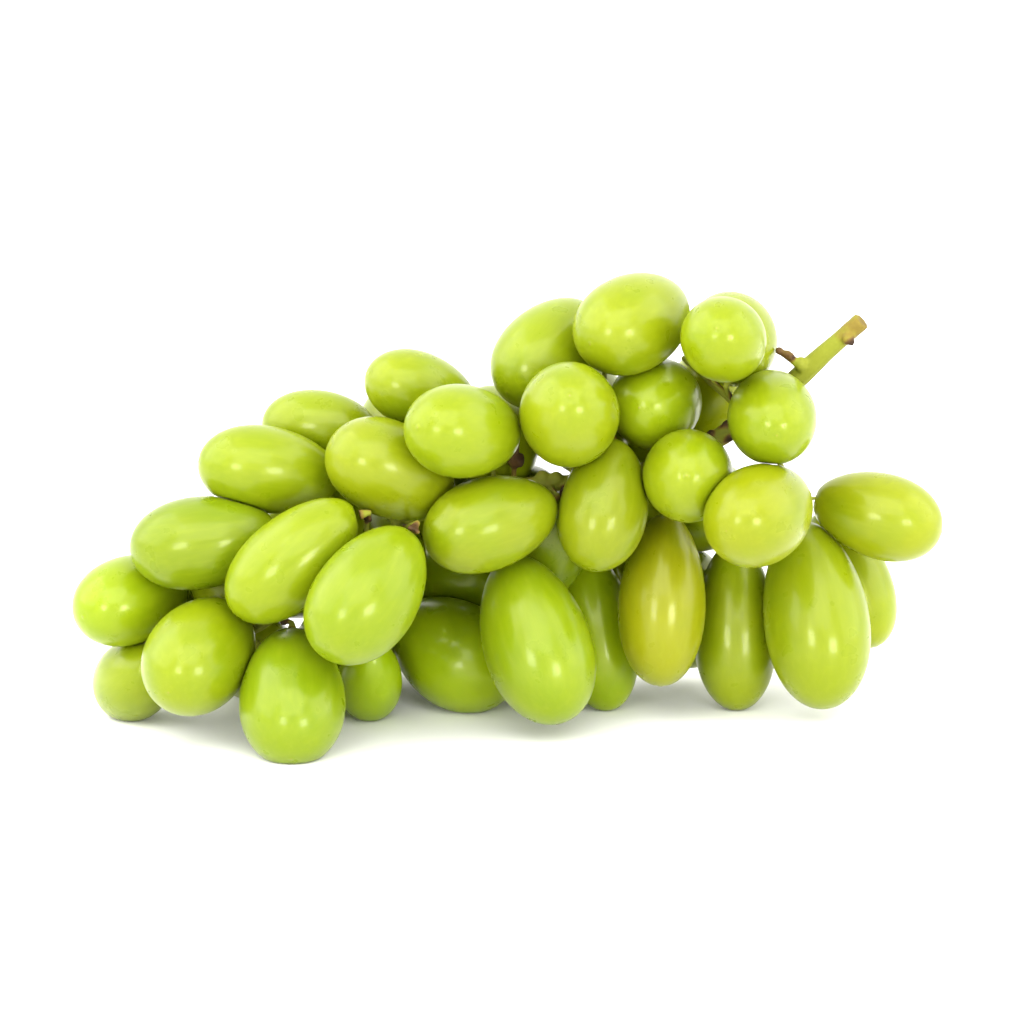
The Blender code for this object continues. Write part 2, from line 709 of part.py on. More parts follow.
def stalk_tubes(settled, home):
    """The main stalk, its bare twigs and every branch and stalklet, as separate tubes."""
    line, line_radii = main_stalk_line()
    line = bend_clear(line, line_radii, settled, 1)
    line_radii = np.minimum(line_radii, room_at(line, settled) - LEAST_CLEAR)
    tubes = [tube("main stalk", line, line_radii, 2, home)]
    for twig in BARE_TWIGS:
        tubes.append(tube("bare twig", *line_from_view(twig), 1, home))
    for branch in grow_stalk(settled, line):
        room = room_at(branch["points"], settled)
        radii = np.full(len(room), STALKLET_RADIUS * branch["carries"] ** BRANCH_GROWTH)
        radii[0] *= ROOT_FLARE
        radii[-2] = STALKLET_RADIUS
        radii = np.minimum(radii, np.maximum(room - LEAST_CLEAR, STALKLET_RADIUS / 2))
        radii[-1] = CAP_RADIUS
        tubes.append(tube("stalklet", branch["points"], radii, 1, home))
    return tubes


scene = bpy.context.scene
bunch = bpy.data.collections.new("Bunch of grapes")
scene.collection.children.link(bunch)

settled = all_berries()
berry_pieces = [berry_object("berry", *berry, bunch) for berry in zip(*settled)]
berries = fuse("berries", berry_pieces, bunch)
berries.data.materials.append(material("grape skin", (0.42, 0.62, 0.05), 0.22))

stalk = fuse("stalk", stalk_tubes(settled, bunch), bunch)
stalk.data.materials.append(material("green wood", (0.33, 0.36, 0.08), 0.6))

# The origin goes to the middle of the bunch's box, on the table
corners = np.array([corner.co for piece in (berries, stalk) for corner in piece.data.vertices])
middle = (corners.min(axis=0) + corners.max(axis=0)) / 2
for piece in (berries, stalk):
    piece.data.transform(Matrix.Translation((-middle[0], -middle[1], 0.0)))
    for face in piece.data.polygons:
        face.use_smooth = True
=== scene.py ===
import math

import bmesh
import bpy
import numpy as np
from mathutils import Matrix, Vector


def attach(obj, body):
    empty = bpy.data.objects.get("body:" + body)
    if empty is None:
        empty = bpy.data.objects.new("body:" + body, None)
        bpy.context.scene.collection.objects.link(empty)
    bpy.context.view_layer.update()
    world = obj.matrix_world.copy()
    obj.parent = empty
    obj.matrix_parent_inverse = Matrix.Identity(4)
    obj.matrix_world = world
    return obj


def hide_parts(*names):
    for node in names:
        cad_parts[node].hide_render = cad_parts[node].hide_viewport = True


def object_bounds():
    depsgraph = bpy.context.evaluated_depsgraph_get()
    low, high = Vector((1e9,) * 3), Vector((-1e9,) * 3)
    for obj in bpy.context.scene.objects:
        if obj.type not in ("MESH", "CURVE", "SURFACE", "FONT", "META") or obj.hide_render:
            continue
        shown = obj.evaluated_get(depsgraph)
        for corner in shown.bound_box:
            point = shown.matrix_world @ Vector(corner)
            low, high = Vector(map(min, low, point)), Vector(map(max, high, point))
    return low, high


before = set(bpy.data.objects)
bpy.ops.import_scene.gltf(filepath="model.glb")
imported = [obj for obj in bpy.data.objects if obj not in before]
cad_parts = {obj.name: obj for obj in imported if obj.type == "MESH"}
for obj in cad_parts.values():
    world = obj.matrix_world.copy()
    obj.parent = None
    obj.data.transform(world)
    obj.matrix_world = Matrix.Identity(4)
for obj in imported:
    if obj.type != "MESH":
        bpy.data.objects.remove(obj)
cad_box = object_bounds()
MM = 0.001

# The bunch is seen from in front, a metre away and a little above, with the cut stalk at the
# upper right, so that the tail of the bunch leads off to the left.
VIEW_ANGLE = math.radians(12)
VIEW_DISTANCE = 1.0
AIM_POINT = Vector((0.0005, -0.0119, 0.0431))
LENS, SENSOR = 185.0, 36.0

sight = Vector((0.0, math.cos(VIEW_ANGLE), -math.sin(VIEW_ANGLE)))
camera_data = bpy.data.cameras.new("view of the bunch")
camera_data.lens = LENS
camera_data.sensor_width = SENSOR
camera = bpy.data.objects.new("view of the bunch", camera_data)
bpy.context.scene.collection.objects.link(camera)
camera.location = AIM_POINT - sight * VIEW_DISTANCE
camera.rotation_euler = sight.to_track_quat("-Z", "Y").to_euler()
bpy.context.scene.camera = camera


# The berries: plump long grapes, a little wider at the free tip than at the stem end. Where
# each one sits and how large it is comes from the solid bunch, cut apart at the sharp creases
# where two berries meet.
CREASE = math.radians(60)
WIDE_TIP = 0.11
USUAL_HALF_WIDTH = 9 * MM
USUAL_HALF_LENGTH = 14.5 * MM
WELD = 0.005 * MM
FLATTENED = 0.1 * MM
FIT_ROUNDS = 60
FIT_STEP = 1e-6
FIRST_DAMPING = 1e-3
LESS_DAMPING, MORE_DAMPING = 0.3, 5
LEAST_DAMPING = 1e-12
# The round berry over the gap in the middle hangs a little lower than the solid's
ROUND_BERRY = 33
ROUND_BERRY_DROP = 0.8 * MM


def deselect():
    """Leaves object mode with nothing selected."""
    if bpy.context.object and bpy.context.object.mode != "OBJECT":
        bpy.ops.object.mode_set(mode="OBJECT")
    bpy.ops.object.select_all(action="DESELECT")


def pick(piece):
    """Makes one object the only selected one, and the active one."""
    deselect()
    piece.select_set(True)
    bpy.context.view_layer.objects.active = piece


def solid_copy(node, name):
    """A copy of a node's solid, with its loose triangles merged, picked and in edit mode."""
    piece = bpy.data.objects.new(name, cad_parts[node].data.copy())
    bpy.context.scene.collection.objects.link(piece)
    pick(piece)
    bpy.ops.object.mode_set(mode="EDIT")
    bpy.ops.mesh.select_all(action="SELECT")
    bpy.ops.mesh.remove_doubles(threshold=WELD)
    return piece


def split_at_creases():
    """One loose patch of skin for each berry of the solid bunch."""
    solid_copy("berries", "patches")
    bpy.ops.mesh.select_mode(type="EDGE")
    bpy.ops.mesh.select_all(action="DESELECT")
    bpy.ops.mesh.edges_select_sharp(sharpness=CREASE)
    bpy.ops.mesh.edge_split(type="EDGE")
    bpy.ops.mesh.separate(type="LOOSE")
    bpy.ops.object.mode_set(mode="OBJECT")
    return list(bpy.context.selected_objects)


def patch_points(patch):
    """Points and normals of a patch, away from its rim and from the table."""
    uses = {}
    for face in patch.data.polygons:
        for key in face.edge_keys:
            uses[key] = uses.get(key, 0) + 1
    rim = {corner for key, count in uses.items() if count == 1 for corner in key}
    inner = [
        spot for spot in patch.data.vertices
        if spot.index not in rim and spot.co.z > FLATTENED
    ]
    return np.array([spot.co for spot in inner]), np.array([spot.normal for spot in inner])


def misfit(numbers, points):
    """How far points lie off a berry that is given by its middle, axis and half sizes."""
    centre, axis, half_length, half_width = np.split(numbers, (3, 6, 7))
    axis = axis / np.linalg.norm(axis)
    along = (points - centre) @ axis
    side = np.linalg.norm(points - centre - along[:, None] * axis, axis=1)
    wide = half_width * (1 + WIDE_TIP * along / half_length)
    return (np.sqrt((along / half_length) ** 2 + (side / wide) ** 2) - 1) * half_width


def fit_from(numbers, points):
    """Improves a first guess at a berry until its skin runs through the points."""
    damping = FIRST_DAMPING
    off = misfit(numbers, points)
    each = np.eye(len(numbers))
    for _ in range(FIT_ROUNDS):
        steps = each * FIT_STEP
        tried = [misfit(numbers + step, points) for step in steps]
        slope = (np.stack(tried, axis=1) - off[:, None]) / FIT_STEP
        square = slope.T @ slope
        square += damping * np.diag(np.diag(square)) + LEAST_DAMPING * each
        better = numbers - np.linalg.solve(square, slope.T @ off)
        better[3:6] /= np.linalg.norm(better[3:6])
        new_off = misfit(better, points)
        if (new_off ** 2).sum() < (off ** 2).sum():
            numbers, off, damping = better, new_off, damping * LESS_DAMPING
        else:
            damping *= MORE_DAMPING
    return (off ** 2).sum(), tuple(numbers)


def fit_berry(patch):
    """Middle, axis towards the free tip, half length and half width of a patch's berry."""
    points, normals = patch_points(patch)
    core = points - USUAL_HALF_WIDTH * normals
    middle = core.mean(axis=0)
    guesses = []
    for side in np.linalg.eigh(np.cov((core - middle).T))[1].T:
        for axis in (side, -side):
            guess = [middle, axis, [USUAL_HALF_LENGTH, USUAL_HALF_WIDTH]]
            guesses.append(np.concatenate(guess))
    numbers = np.array(min(fit_from(guess, points) for guess in guesses)[1])
    return numbers[:3], numbers[3:6], numbers[6], numbers[7]


patches = split_at_creases()
bunch = sorted((fit_berry(patch) for patch in patches), key=lambda berry: berry[0][0])
for patch in patches:
    bpy.data.objects.remove(patch, do_unlink=True)
bunch[ROUND_BERRY][0][2] -= ROUND_BERRY_DROP

# One grape is modelled in unit size along Z, with the little dry scar of the flower at the free
# tip, and every grape of the bunch starts as a copy of it; the shallow dimple at the stem end is
# sunk later, under the cap of each stalklet.
GRAPE_SIDES = 40
GRAPE_RINGS = 24
SCAR_START = 0.985
SCAR_WIDTH, SCAR_RIM = 0.06, 0.03
SCAR_DEPTH = 0.007


def select_faces(piece, test):
    """In edit mode, selects the faces whose middles pass a test."""
    mesh = bmesh.from_edit_mesh(piece.data)
    for part in mesh.faces[:] + mesh.edges[:] + mesh.verts[:]:
        part.select = False
    for face in mesh.faces:
        face.select = test(face.calc_center_median())
    mesh.select_flush_mode()
    bmesh.update_edit_mesh(piece.data)


def model_grape():
    """The unit grape: stem end at -Z, free tip at +Z."""
    deselect()
    bpy.ops.mesh.primitive_uv_sphere_add(segments=GRAPE_SIDES, ring_count=GRAPE_RINGS, radius=1.0)
    grape = bpy.context.object
    bpy.ops.object.mode_set(mode="EDIT")
    bpy.ops.mesh.select_mode(type="FACE")
    select_faces(grape, lambda middle: middle.z > SCAR_START)
    bpy.ops.mesh.inset(thickness=SCAR_WIDTH)
    bpy.ops.transform.translate(value=(0, 0, -SCAR_DEPTH))
    bpy.ops.mesh.inset(thickness=SCAR_RIM)
    bpy.ops.transform.translate(value=(0, 0, SCAR_DEPTH))
    bpy.ops.object.mode_set(mode="OBJECT")
    rounder = grape.modifiers.new("rounder", "SUBSURF")
    rounder.levels = rounder.render_levels = 1
    bpy.ops.object.modifier_apply(modifier=rounder.name)
    return grape


# Each grape takes its own size and place, grows a little uneven, and is pressed flat where it
# meets a neighbour or the table, with a dimple under the cap of its stalklet.
GROWTH_SEED = 5
OVALNESS = 0.02
BEND = 0.03
BEND_MIDDLE = 0.4
WAVES = 4
WAVE_PITCH = 1.6
UNEVENNESS = 0.12 * MM
CONTACT_GAP = 0.05 * MM
CAP_GAP = 0.6 * MM
DIMPLE_REACH = 2.6 * MM
DIMPLE_DEPTH = 0.45 * MM


def mesh_points(mesh):
    """All points of a mesh as an array."""
    points = np.empty(len(mesh.vertices) * 3)
    mesh.vertices.foreach_get("co", points)
    return points.reshape(-1, 3)


def depth_inside(points, berry):
    """How deep points lie in a berry, less than nothing outside it, and the way out."""
    centre, axis, half_length, half_width = berry
    apart = points - centre
    along = apart @ axis
    side = apart - along[:, None] * axis
    wide = half_width * (1 + WIDE_TIP * np.clip(along / half_length, -1, 1))
    level = np.sqrt((along / half_length) ** 2 + (side ** 2).sum(axis=1) / wide ** 2)
    slope = along[:, None] * axis / half_length ** 2 + side / wide[:, None] ** 2
    steep = np.maximum(np.linalg.norm(slope, axis=1), 1e-9)
    return (1 - level) * level / steep, slope / steep[:, None]


def turned_to(axis):
    """Turns +Z to an axis."""
    return np.array(Vector(axis).to_track_quat("Z", "Y").to_matrix())


def press_flat(points, number):
    """Moves a grape's skin back half way where a neighbour presses, and up from the table."""
    own = bunch[number]
    out = depth_inside(points, own)[1]
    back = np.zeros(len(points))
    for other, berry in enumerate(bunch):
        close = np.linalg.norm(berry[0] - own[0]) < berry[2] + own[2]
        if close and other != number:
            back = np.maximum(back, (depth_inside(points, berry)[0] + CONTACT_GAP) / 2)
    return np.clip(points - back[:, None] * out, *cad_box)


def sink_dimple(points, number, stalk_points):
    """Draws the skin in under the cap of the stalklet."""
    own = bunch[number]
    near = depth_inside(stalk_points, own)[0] > -CAP_GAP
    if not near.any():
        return points
    cap = stalk_points[near].mean(axis=0)
    away = np.linalg.norm(points - cap, axis=1) / DIMPLE_REACH
    depth = DIMPLE_DEPTH * np.clip(1 - away ** 2, 0, 1) ** 2
    return points - depth[:, None] * depth_inside(points, own)[1]


def uneven(spots, draw):
    """A unit grape's skin made a little oval, bent and uneven."""
    oval, bend_x, bend_y = draw.uniform(-1, 1, 3)
    waves = draw.normal(size=(WAVES, 3)) * WAVE_PITCH
    phases = draw.uniform(0, 2 * math.pi, WAVES)
    swell = np.sin(spots @ waves.T + phases).mean(axis=1)
    spots = spots * (1 + np.array([OVALNESS * oval, -OVALNESS * oval, 0]))
    spots[:, 0] += BEND * bend_x * (spots[:, 2] ** 2 - BEND_MIDDLE)
    spots[:, 1] += BEND * bend_y * (spots[:, 2] ** 2 - BEND_MIDDLE)
    return spots, swell


def grow_grape(model, number, stalk_points, draw):
    """One grape of the bunch, from the unit grape."""
    centre, axis, half_length, half_width = bunch[number]
    piece = bpy.data.objects.new(f"berry_{number + 1:02d}", model.data.copy())
    bpy.context.scene.collection.objects.link(piece)
    spots = mesh_points(piece.data)
    grown, swell = uneven(spots, draw)
    wide = half_width * (1 + WIDE_TIP * spots[:, 2:])
    points = np.hstack([grown[:, :2] * wide, grown[:, 2:] * half_length])
    points = points @ turned_to(axis).T + centre
    points -= (UNEVENNESS * (1 + swell))[:, None] * depth_inside(points, bunch[number])[1]
    points = press_flat(sink_dimple(points, number, stalk_points), number)
    piece.data.vertices.foreach_set("co", points.ravel())
    skin = piece.data.attributes.new("skin", "FLOAT_VECTOR", "POINT")
    skin.data.foreach_set("vector", spots.ravel())
    piece.data.update()
    pick(piece)
    bpy.ops.object.shade_smooth()
    return piece


model = model_grape()
draw = np.random.default_rng(GROWTH_SEED)
stalk_points = mesh_points(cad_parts["stalk"].data)
grapes = [grow_grape(model, number, stalk_points, draw) for number in range(len(bunch))]
bpy.data.objects.remove(model, do_unlink=True)


# Grape skin: taut, thin and slightly see-through over wet flesh, greener where the grape is
# young and yellower where it is ripe, with faint lengthwise veins, a dull bloom and a shine
# like wax on top. Grapes that sit in shade are lightened with painted fill light.
YOUNG_GREEN = (0.100, 0.170, 0.001)
PALE_VEIN = (0.26, 0.30, 0.02)
SCAR_BROWN = (0.20, 0.19, 0.03)
# How bright the flesh of a grape is, and how much red it has for each part of green, with the
# grapes that are lighter, greener or yellower than usual numbered from the tail. These are
# partly each grape's own tone and partly painted fill light: grapes that sit in shade inside
# the bunch are made lighter, so they look lit.
USUAL_FLESH = (0.21, 0.80)
FLESH_AND_PAINTED_FILL = {
    "berry_01": (0.25, 0.74), "berry_02": (0.22, 0.77), "berry_05": (0.18, 0.75),
    "berry_10": (0.20, 0.72), "berry_16": (0.31, 0.72), "berry_17": (0.20, 0.76),
    "berry_19": (0.20, 0.84), "berry_23": (0.25, 0.74), "berry_24": (0.29, 0.71),
    "berry_27": (0.19, 0.80), "berry_30": (0.21, 0.74), "berry_32": (0.17, 0.70),
    "berry_36": (0.30, 0.72), "berry_37": (0.18, 0.83), "berry_42": (0.25, 0.78),
    "berry_43": (0.20, 0.95), "berry_47": (0.26, 0.90), "berry_51": (0.20, 0.89),
    "berry_54": (0.25, 0.82), "berry_55": (0.22, 0.87),
}
FLESH_BLUE = 0.002
TONE_SPREAD = 0.03
# Each pattern of the skin: how fine and how detailed its noise is, and at which values of the
# noise it starts to show and is full
GREEN_PATCHES = ((90.0, 2.0), (0.45, 1.3))
VEINS = ((1.6, 3.0), (0.45, 0.75))
BLOOM = ((220.0, 4.0), (0.35, 0.7))
PORES = (700.0, 2.0)
VEIN_STRETCH = (7.0, 7.0, 0.9)
VEIN_STRENGTH = 0.15
SCAR_EDGE = (0.9980, 0.9992)
SHINY, DULL = 0.27, 0.38


def new_material(name):
    """A material with its nodes and links, a shader and an output so far."""
    finish = bpy.data.materials.new(name)
    finish.use_nodes = True
    return finish, finish.node_tree.nodes, finish.node_tree.links


def mix_colours(nodes, links, share, low, high):
    """A node that mixes two colours, each a value or a socket, by a share that is a socket."""
    mix = nodes.new("ShaderNodeMix")
    mix.data_type = "RGBA"
    links.new(share, mix.inputs["Factor"])
    for socket, colour in ((mix.inputs["A"], low), (mix.inputs["B"], high)):
        if isinstance(colour, tuple):
            socket.default_value = (*colour, 1.0)
        else:
            links.new(colour, socket)
    return mix.outputs["Result"]


def noise(nodes, links, place, scale, detail):
    """A noise texture's value."""
    texture = nodes.new("ShaderNodeTexNoise")
    texture.inputs["Scale"].default_value = scale
    texture.inputs["Detail"].default_value = detail
    links.new(place, texture.inputs["Vector"])
    return texture.outputs["Fac"]


def ramp(nodes, links, value, low, high):
    """Spreads a value so that low gives 0 and high gives 1."""
    spread = nodes.new("ShaderNodeMapRange")
    spread.inputs["From Min"].default_value = low
    spread.inputs["From Max"].default_value = high
    links.new(value, spread.inputs["Value"])
    return spread.outputs["Result"]


def pattern(nodes, links, place, grain, shown):
    """Where a pattern shows, from nothing to full."""
    return ramp(nodes, links, noise(nodes, links, place, *grain), *shown)


def grape_skin():
    """The material of every grape."""
    finish, nodes, links = new_material("grape_skin_finish")
    shader = nodes["Principled BSDF"]
    skin = nodes.new("ShaderNodeAttribute")
    skin.attribute_name = "skin"
    # The flesh colour holds each grape's own tone together with painted fill light on grapes in
    # shade
    flesh_and_painted_fill = nodes.new("ShaderNodeAttribute")
    flesh_and_painted_fill.attribute_name = "flesh_and_painted_fill"
    place = nodes.new("ShaderNodeTexCoord").outputs["Object"]
    lengthwise = nodes.new("ShaderNodeMapping")
    lengthwise.inputs["Scale"].default_value = VEIN_STRETCH
    links.new(skin.outputs["Vector"], lengthwise.inputs["Vector"])
    patches = pattern(nodes, links, place, *GREEN_PATCHES)
    veins = pattern(nodes, links, lengthwise.outputs["Vector"], *VEINS)
    bloom = pattern(nodes, links, place, *BLOOM)
    grown = mix_colours(nodes, links, patches, flesh_and_painted_fill.outputs["Color"], YOUNG_GREEN)
    vein_share = nodes.new("ShaderNodeMath")
    vein_share.operation = "MULTIPLY"
    vein_share.inputs[1].default_value = VEIN_STRENGTH
    links.new(veins, vein_share.inputs[0])
    veined = mix_colours(nodes, links, vein_share.outputs[0], grown, PALE_VEIN)
    parts = nodes.new("ShaderNodeSeparateXYZ")
    links.new(skin.outputs["Vector"], parts.inputs[0])
    scar = ramp(nodes, links, parts.outputs["Z"], *SCAR_EDGE)
    links.new(mix_colours(nodes, links, scar, veined, SCAR_BROWN), shader.inputs["Base Color"])
    dull = nodes.new("ShaderNodeMapRange")
    dull.inputs["To Min"].default_value = SHINY
    dull.inputs["To Max"].default_value = DULL
    links.new(bloom, dull.inputs["Value"])
    links.new(dull.outputs["Result"], shader.inputs["Roughness"])
    shader.inputs["IOR"].default_value = 1.4
    shader.inputs["Specular Tint"].default_value = (1.0, 1.0, 0.4, 1.0)
    shader.inputs["Coat Weight"].default_value = 0.25
    shader.inputs["Coat Roughness"].default_value = 0.11
    shader.inputs["Coat IOR"].default_value = 1.4
    shader.inputs["Coat Tint"].default_value = (1.0, 1.0, 0.9, 1.0)
    shader.inputs["Subsurface Weight"].default_value = 1.0
    shader.inputs["Subsurface Radius"].default_value = (1.0, 1.0, 0.15)
    shader.inputs["Subsurface Scale"].default_value = 5 * MM
    bump = nodes.new("ShaderNodeBump")
    bump.inputs["Strength"].default_value = 0.03
    bump.inputs["Distance"].default_value = 0.2 * MM
    links.new(noise(nodes, links, place, *PORES), bump.inputs["Height"])
    links.new(bump.outputs["Normal"], shader.inputs["Normal"])
    return finish


skin_finish = grape_skin()
# Each grape's flesh colour: its own tone, and painted fill light that lightens grapes in shade
for piece in grapes:
    flesh_and_painted_fill = piece.data.attributes.new("flesh_and_painted_fill", "FLOAT_COLOR", "POINT")
    green, redness = FLESH_AND_PAINTED_FILL.get(piece.name, USUAL_FLESH)
    red = green * redness * draw.uniform(1 - TONE_SPREAD, 1 + TONE_SPREAD)
    colour = (red, green, FLESH_BLUE, 1.0)
    flesh_and_painted_fill.data.foreach_set("color", np.tile(colour, len(piece.data.vertices)))
    piece.data.materials.clear()
    piece.data.materials.append(skin_finish)
    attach(piece, "root")
    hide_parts("berries")


# The stalk: green wood that grew in one piece, from the cut end through the bunch to a stalklet
# for every grape. It is browned and corky at the cut end and the caps, and dark and warty at
# its knots, where twigs and flowers have dropped off.
STALK_GRAIN = 0.3 * MM
PICTURE_MIDDLE = 512
PICTURE_STEP = 0.19 * MM
SIGHT_SLACK = 0.5 * MM
CORK_REACH, CORK_BROWN = 10 * MM, 0.45
CAP_REACH, CAP_BROWN, CAP_EDGE = 1.3 * MM, 0.55, 1.5
KNOT_REACH, KNOT_BROWN, KNOT_EDGE = 1.4, 0.95, 1.5
SMOOTH_KNOT_BROWN = 0.55
GREEN_WOOD = (0.180, 0.195, 0.014)
OCHRE_WOOD = (0.165, 0.120, 0.014)
BROWN_WOOD = (0.085, 0.044, 0.012)
DARK_WOOD = (0.026, 0.012, 0.004)
WOOD_STEPS = [(0.08, GREEN_WOOD), (0.30, OCHRE_WOOD), (0.60, BROWN_WOOD), (1.0, DARK_WOOD)]
BLOTCHES = (320.0, 4.0)
BLOTCHINESS = 0.7
WOOD_GRAIN = (900.0, 4.0)

# Where each knot is seen, as the column and row of a picture 1024 wide, how far it spreads in
# millimetres, and how many warts it has, with none where the wood is only browned
KNOTS = [
    ((853, 345), 1.0, 7),
    ((784, 354), 1.3, 0),
    ((793, 357), 0.4, 3),
    ((677, 348), 1.1, 6),
    ((722, 420), 1.0, 6),
    ((707, 432), 0.9, 4),
    ((731, 441), 0.8, 4),
    ((750, 460), 0.6, 3),
    ((811, 480), 0.7, 3),
    ((525, 461), 2.2, 16),
    ((561, 490), 0.9, 5),
    ((559, 512), 0.7, 4),
    ((368, 521), 1.4, 8),
    ((415, 526), 1.1, 5),
    ((435, 570), 1.1, 5),
    ((280, 624), 1.4, 8),
]
WART_RADII = (0.3, 0.6)
WART_SCATTER = 0.5

# Where the stalk is swollen, with the radius of the swelling and how far it stands out, both
# in millimetres
SWELLINGS = [
    ((853, 341), 1.2, 0.35),
    ((798, 365), 1.4, 0.25),
    ((786, 356), 0.9, 0.3),
    ((778, 352), 0.8, 0.3),
    ((527, 462), 1.6, 1.0),
    ((541, 462), 1.4, 1.0),
    ((556, 474), 1.5, 0.9),
]
# The shaft is a little slimmer than the solid's from its foot up, and its cut end is rounded
SHAFT_FOOT = 58 * MM
SHAFT_EASE = 4 * MM
SLIMMER = 0.3 * MM
END_REACH = 5 * MM
SHAFT_REACH = (8 * MM, 18 * MM)
END_ROUNDING = 2.0 * MM


def colour_steps(nodes, links, value, steps):
    """A node that runs through colours as a value rises, each step a value and a colour."""
    band = nodes.new("ShaderNodeValToRGB")
    stops = band.color_ramp.elements
    while len(stops) < len(steps):
        stops.new(0.5)
    for stop, (position, colour) in zip(stops, steps):
        stop.position = position
        stop.color = (*colour, 1.0)
    links.new(value, band.inputs["Fac"])
    return band.outputs["Color"]


def blotched(nodes, links, value, patches, strength):
    """A value made uneven by a noise texture's value."""
    middle = nodes.new("ShaderNodeMath")
    middle.operation = "MULTIPLY_ADD"
    middle.inputs[1].default_value = strength
    middle.inputs[2].default_value = -strength / 2
    links.new(patches, middle.inputs[0])
    total = nodes.new("ShaderNodeMath")
    links.new(value, total.inputs[0])
    links.new(middle.outputs[0], total.inputs[1])
    return total.outputs[0]


def stalk_spot(points, column, row):
    """The point of the stalk that is nearest to where something is seen in the picture."""
    rise = Vector((0.0, math.sin(VIEW_ANGLE), math.cos(VIEW_ANGLE)))
    way = sight * VIEW_DISTANCE + rise * (PICTURE_MIDDLE - row) * PICTURE_STEP
    way = np.array((way + Vector(((column - PICTURE_MIDDLE) * PICTURE_STEP, 0, 0))).normalized())
    apart = points - np.array(camera.location)
    along = apart @ way
    off = np.linalg.norm(apart - along[:, None] * way, axis=1)
    near = off < off.min() + SIGHT_SLACK
    return np.array(camera.location) + along[near].min() * way


def join_to(stalk, lumps):
    """Joins lumps to the stalk."""
    pick(stalk)
    for lump in lumps:
        lump.select_set(True)
    bpy.ops.object.join()


def add_warts(stalk, spot, spread, count):
    """Small round lumps in a cluster round a spot of the stalk."""
    warts = []
    for _ in range(count):
        radius = draw.uniform(*WART_RADII) * MM
        near = spot + draw.normal(size=3) * WART_SCATTER * spread * MM
        place = stalk.closest_point_on_mesh(near)[1]
        bpy.ops.mesh.primitive_ico_sphere_add(subdivisions=2, radius=radius, location=place)
        warts.append(bpy.context.object)
    return warts


def add_swelling(stalk, spot, radius, stand):
    """A ball sunk in the stalk so that only a low swelling stands out."""
    place, outward = stalk.closest_point_on_mesh(spot)[1:3]
    centre = place - outward * (radius - stand) * MM
    bpy.ops.mesh.primitive_ico_sphere_add(subdivisions=3, radius=radius * MM, location=centre)
    return bpy.context.object


def slim_shaft(stalk):
    """Draws the cut shaft in and rounds its end."""
    points = mesh_points(stalk.data)
    normals = np.array([spot.normal for spot in stalk.data.vertices])
    share = SLIMMER * np.clip((points[:, 0] - SHAFT_FOOT) / SHAFT_EASE, 0, 1)
    points -= share[:, None] * normals
    reach = points[:, 0] + points[:, 2]
    short = reach.max() - reach
    end = points[short < END_REACH].mean(axis=0)
    back = points[(short > SHAFT_REACH[0]) & (short < SHAFT_REACH[1])].mean(axis=0)
    axis = (end - back) / np.linalg.norm(end - back)
    tip = ((points - end) @ axis).max()
    ball = end + (tip - END_ROUNDING / 2) * axis
    apart = points - ball
    beyond = apart @ axis > -END_ROUNDING / 2
    apart = apart[beyond]
    points[beyond] = ball + END_ROUNDING * apart / np.linalg.norm(apart, axis=1)[:, None]
    stalk.data.vertices.foreach_set("co", points.ravel())


def model_stalk(knots):
    """The solid stalk with its warts, remeshed finely as one body and smoothed."""
    stalk = solid_copy("stalk", "stalk_wood")
    bpy.ops.object.mode_set(mode="OBJECT")
    slim_shaft(stalk)
    swellings = []
    for seen, radius, stand in SWELLINGS:
        spot = stalk_spot(stalk_points, *seen)
        swellings.append(add_swelling(stalk, spot, radius, stand))
    join_to(stalk, swellings)
    join_to(stalk, [wart for knot in knots for wart in add_warts(stalk, *knot)])
    finer = stalk.modifiers.new("finer", "REMESH")
    finer.mode = "VOXEL"
    finer.voxel_size = STALK_GRAIN
    bpy.ops.object.modifier_apply(modifier=finer.name)
    smoother = stalk.modifiers.new("smoother", "SMOOTH")
    smoother.factor = 0.5
    smoother.iterations = 3
    bpy.ops.object.modifier_apply(modifier=smoother.name)
    bpy.ops.object.shade_smooth()
    return stalk


def brown_stalk(stalk, knots):
    """How brown each point of the stalk is: none on green wood, full on a dark knot."""
    points = mesh_points(stalk.data)
    cut_end = points[np.argmax(points[:, 0])]
    away = np.linalg.norm(points - cut_end, axis=1) / CORK_REACH
    brown = CORK_BROWN * np.clip(1 - away, 0, 1)
    for berry in bunch:
        close = np.clip(1 + depth_inside(points, berry)[0] / CAP_REACH, 0, 1)
        brown = np.maximum(brown, CAP_BROWN * np.minimum(1, CAP_EDGE * close))
    for spot, spread, count in knots:
        away = np.linalg.norm(points - spot, axis=1) / (KNOT_REACH * spread * MM)
        most = KNOT_BROWN if count else SMOOTH_KNOT_BROWN
        brown = np.maximum(brown, np.clip(KNOT_EDGE - away, 0, most))
    browning = stalk.data.attributes.new("browning", "FLOAT", "POINT")
    browning.data.foreach_set("value", brown)


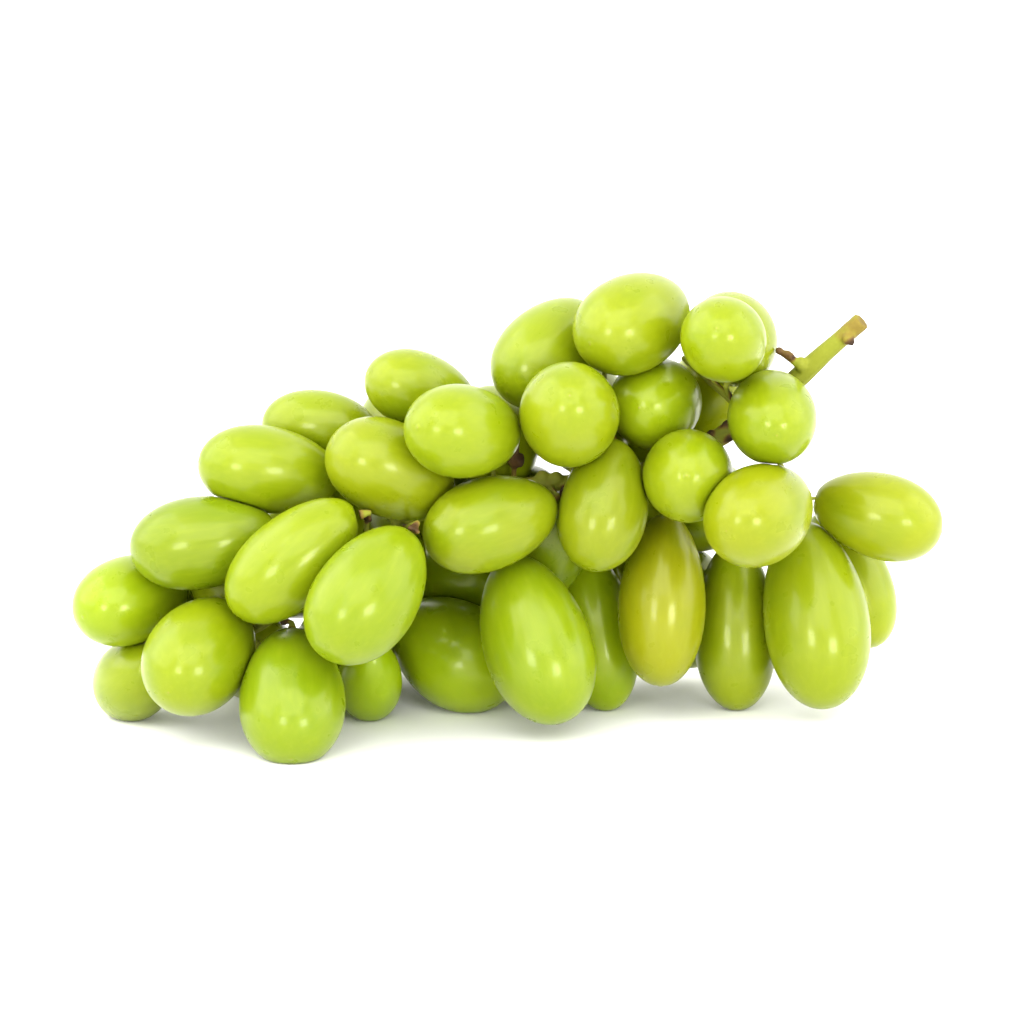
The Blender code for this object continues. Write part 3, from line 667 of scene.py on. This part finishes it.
def green_wood():
    """The material of the stalk."""
    finish, nodes, links = new_material("green_wood_finish")
    shader = nodes["Principled BSDF"]
    browning = nodes.new("ShaderNodeAttribute")
    browning.attribute_name = "browning"
    place = nodes.new("ShaderNodeTexCoord").outputs["Object"]
    patches = noise(nodes, links, place, *BLOTCHES)
    brown = blotched(nodes, links, browning.outputs["Fac"], patches, BLOTCHINESS)
    wood = colour_steps(nodes, links, brown, WOOD_STEPS)
    links.new(wood, shader.inputs["Base Color"])
    shader.inputs["Roughness"].default_value = 0.65
    shader.inputs["Specular IOR Level"].default_value = 0.2
    bump = nodes.new("ShaderNodeBump")
    bump.inputs["Strength"].default_value = 0.4
    bump.inputs["Distance"].default_value = 0.3 * MM
    links.new(noise(nodes, links, place, *WOOD_GRAIN), bump.inputs["Height"])
    links.new(bump.outputs["Normal"], shader.inputs["Normal"])
    return finish


knots = [(stalk_spot(stalk_points, *seen), spread, count) for seen, spread, count in KNOTS]
stalk = model_stalk(knots)
brown_stalk(stalk, knots)
stalk.data.materials.clear()
stalk.data.materials.append(green_wood())
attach(stalk, "root")
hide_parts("stalk")


# The table: a wide pale surface, lit so brightly that it runs into the white behind it.
FLOOR_SIDE = 12.0
FLOOR_DROP = 0.1 * MM
FLOOR_COLOUR = (0.80, 0.80, 0.77, 1.0)

deselect()
bpy.ops.mesh.primitive_plane_add(size=FLOOR_SIDE, location=(0, 0, -FLOOR_DROP))
floor = bpy.context.object
floor.name = "floor"
floor_finish, nodes = new_material("pale_floor")[:2]
nodes["Principled BSDF"].inputs["Base Color"].default_value = FLOOR_COLOUR
nodes["Principled BSDF"].inputs["Roughness"].default_value = 0.9
floor.data.materials.append(floor_finish)


# Studio light: a bright white room, a large soft lamp above the camera, two small square ones
# beside it, and a soft wall of light at each side.
ROOM_BRIGHTNESS = 1.9
LAMP_DISTANCE = 1.3
LAMPS = {
    "large soft lamp": ((0, 44), (1.25, 1.05), 4.0),
    "small left lamp": ((-21, 10), (0.34, 0.34), 17.0),
    "small right lamp": ((28, 4), (0.38, 0.38), 20.0),
    "left wall of light": ((-80, 38), (1.6, 1.4), 3.2),
    "right wall of light": ((80, 30), (1.3, 1.4), 2.4),
}


def add_lamp(name, turn, size, brightness):
    """A flat lamp round the bunch at a turn from the camera and a height, both in degrees."""
    data = bpy.data.lights.new(name, "AREA")
    data.shape = "RECTANGLE"
    data.size, data.size_y = size
    data.energy = brightness * math.pi * size[0] * size[1]
    lamp = bpy.data.objects.new(name, data)
    bpy.context.scene.collection.objects.link(lamp)
    across, up = (math.radians(angle) for angle in turn)
    way = Vector((math.sin(across) * math.cos(up), -math.cos(across) * math.cos(up), math.sin(up)))
    lamp.location = AIM_POINT + way * LAMP_DISTANCE
    lamp.rotation_euler = way.to_track_quat("Z", "Y").to_euler()
    lamp.visible_camera = False


for name, (turn, size, brightness) in LAMPS.items():
    add_lamp(name, turn, size, brightness)

room = bpy.data.worlds.new("white room")
room.use_nodes = True
background = room.node_tree.nodes["Background"]
background.inputs["Color"].default_value = (1.0, 1.0, 1.0, 1.0)
background.inputs["Strength"].default_value = ROOM_BRIGHTNESS
bpy.context.scene.world = room
bpy.context.scene.view_settings.view_transform = "Standard"
